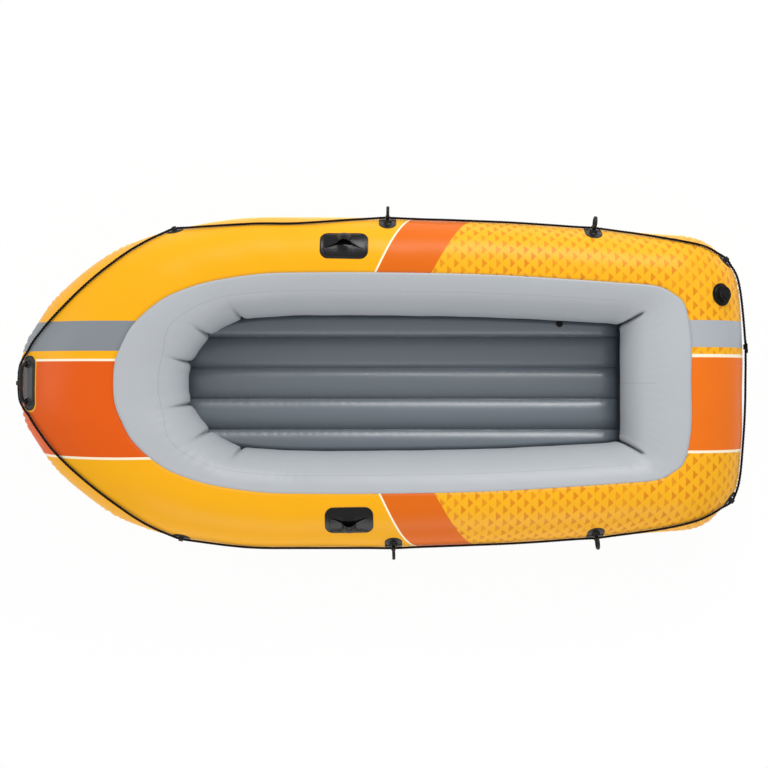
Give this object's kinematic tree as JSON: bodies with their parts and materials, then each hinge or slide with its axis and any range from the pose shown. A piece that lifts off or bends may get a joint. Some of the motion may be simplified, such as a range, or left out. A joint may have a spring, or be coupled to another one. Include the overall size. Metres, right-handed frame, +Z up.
{
  "type": "inflatable boat",
  "caption": "Inflatable rowing boat with two hull chambers, a ribbed air floor, swivelling oar rings, oar holders, bow handle, grab line and screwed, capped and plugged valves.",
  "frame": {"origin": "on the ground below the middle of the whole boat's box", "axes": "-X towards the bow, +X towards the stern, +Y starboard, +Z up"},
  "size_m": [2.3519, 1.1252, 0.4099],
  "materials": {
    "yellow_vinyl": "semi-gloss printed vinyl film",
    "light_grey_vinyl": "semi-gloss vinyl film",
    "dark_grey_vinyl": "semi-gloss vinyl film",
    "black_moulding": "satin moulded vinyl",
    "black_rope": "braided cord",
    "clear_flap": "translucent soft vinyl"
  },
  "bodies": {
    "hull": {"bottom_sheet": "dark_grey_vinyl", "bow_handle_grip": "black_moulding", "bow_handle_patch": "black_moulding", "floor_top_sheet": "dark_grey_vinyl", "floor_valve_stem": "black_moulding", "floor_web_1": "dark_grey_vinyl", "floor_web_2": "dark_grey_vinyl", "floor_web_3": "dark_grey_vinyl", "floor_web_4": "dark_grey_vinyl", "grab_line": "black_rope", "grab_line_knot": "black_rope", "inner_chamber": "light_grey_vinyl", "inner_valve_stem": "black_moulding", "main_chamber": "yellow_vinyl", "main_valve_base": "black_moulding", "oar_holder_port": "black_moulding", "oar_holder_starboard": "black_moulding", "oar_lock_base_front_port": "black_moulding", "oar_lock_base_front_starboard": "black_moulding", "oar_lock_base_rear_port": "black_moulding", "oar_lock_base_rear_starboard": "black_moulding", "outer_seam_flange": "yellow_vinyl", "rope_holder_bow_centre": "black_moulding", "rope_holder_bow_port": "black_moulding", "rope_holder_bow_starboard": "black_moulding", "rope_holder_stern_port": "black_moulding", "rope_holder_stern_starboard": "black_moulding"},
    "oar_ring_front_starboard": {"oar_lock_ring_front_starboard": "black_moulding"},
    "oar_ring_rear_starboard": {"oar_lock_ring_rear_starboard": "black_moulding"},
    "oar_ring_front_port": {"oar_lock_ring_front_port": "black_moulding"},
    "oar_ring_rear_port": {"oar_lock_ring_rear_port": "black_moulding"},
    "valve_gasket": {"main_valve_gasket": "black_moulding"},
    "valve_insert": {"main_valve_insert": "black_moulding", "main_valve_hinge_ears": "black_moulding"},
    "valve_cap": {"main_valve_cap": "black_moulding"},
    "valve_flap": {"main_valve_flap": "clear_flap"},
    "floor_plug": {"floor_valve_plug": "black_moulding"},
    "inner_plug": {"inner_valve_plug": "black_moulding"}
  },
  "joints": [
    {"name": "oar_ring_swivel_front_starboard", "type": "hinge", "parent": "hull", "child": "oar_ring_front_starboard", "pos_m": [0.01223, 0.52268, 0.25516], "axis": [0.0187, 0.8703, 0.4923], "range_deg": [-90, 90]},
    {"name": "oar_ring_swivel_rear_starboard", "type": "hinge", "parent": "hull", "child": "oar_ring_rear_starboard", "pos_m": [0.67077, 0.49093, 0.25504], "axis": [0.0719, 0.8731, 0.4822], "range_deg": [-90, 90]},
    {"name": "oar_ring_swivel_front_port", "type": "hinge", "parent": "hull", "child": "oar_ring_front_port", "pos_m": [0.03111, -0.52226, 0.25516], "axis": [0.0194, -0.8704, 0.492], "range_deg": [-90, 90]},
    {"name": "oar_ring_swivel_rear_port", "type": "hinge", "parent": "hull", "child": "oar_ring_rear_port", "pos_m": [0.67869, -0.49027, 0.25504], "axis": [0.0722, -0.8732, 0.482], "range_deg": [-90, 90]},
    {"name": "main_valve_lift", "type": "slide", "parent": "hull", "child": "valve_gasket", "axis": [0.471, 0.078, 0.8787], "range_m": [0, 0.006]},
    {"name": "main_valve_turn", "type": "hinge", "parent": "valve_gasket", "child": "valve_insert", "pos_m": [1.07083, 0.27995, 0.31377], "axis": [0.471, 0.078, 0.8787], "range_deg": [0, 540]},
    {"name": "main_valve_cap_hinge", "type": "hinge", "parent": "valve_insert", "child": "valve_cap", "pos_m": [1.05776, 0.27779, 0.32814], "axis": [0.1633, -0.9866, 0], "range_deg": [0, 120]},
    {"name": "main_valve_flap_hinge", "type": "hinge", "parent": "valve_insert", "child": "valve_flap", "pos_m": [1.06879, 0.27961, 0.28485], "axis": [0.1633, -0.9866, 0], "range_deg": [0, 35], "stiffness_Nm_per_rad": 0.002, "springref_deg": -8.59},
    {"name": "floor_plug_pull", "type": "slide", "parent": "hull", "child": "floor_plug", "axis": [0, 0, 1], "range_m": [0, 0.02]},
    {"name": "inner_plug_pull", "type": "slide", "parent": "hull", "child": "inner_plug", "axis": [-0.0513, 0.9314, -0.3604], "range_m": [0, 0.02]}
  ],
  "couplings": [
    {"joint": "main_valve_lift", "follows": "main_valve_turn", "m_per_rad": 0.000636}
  ]
}
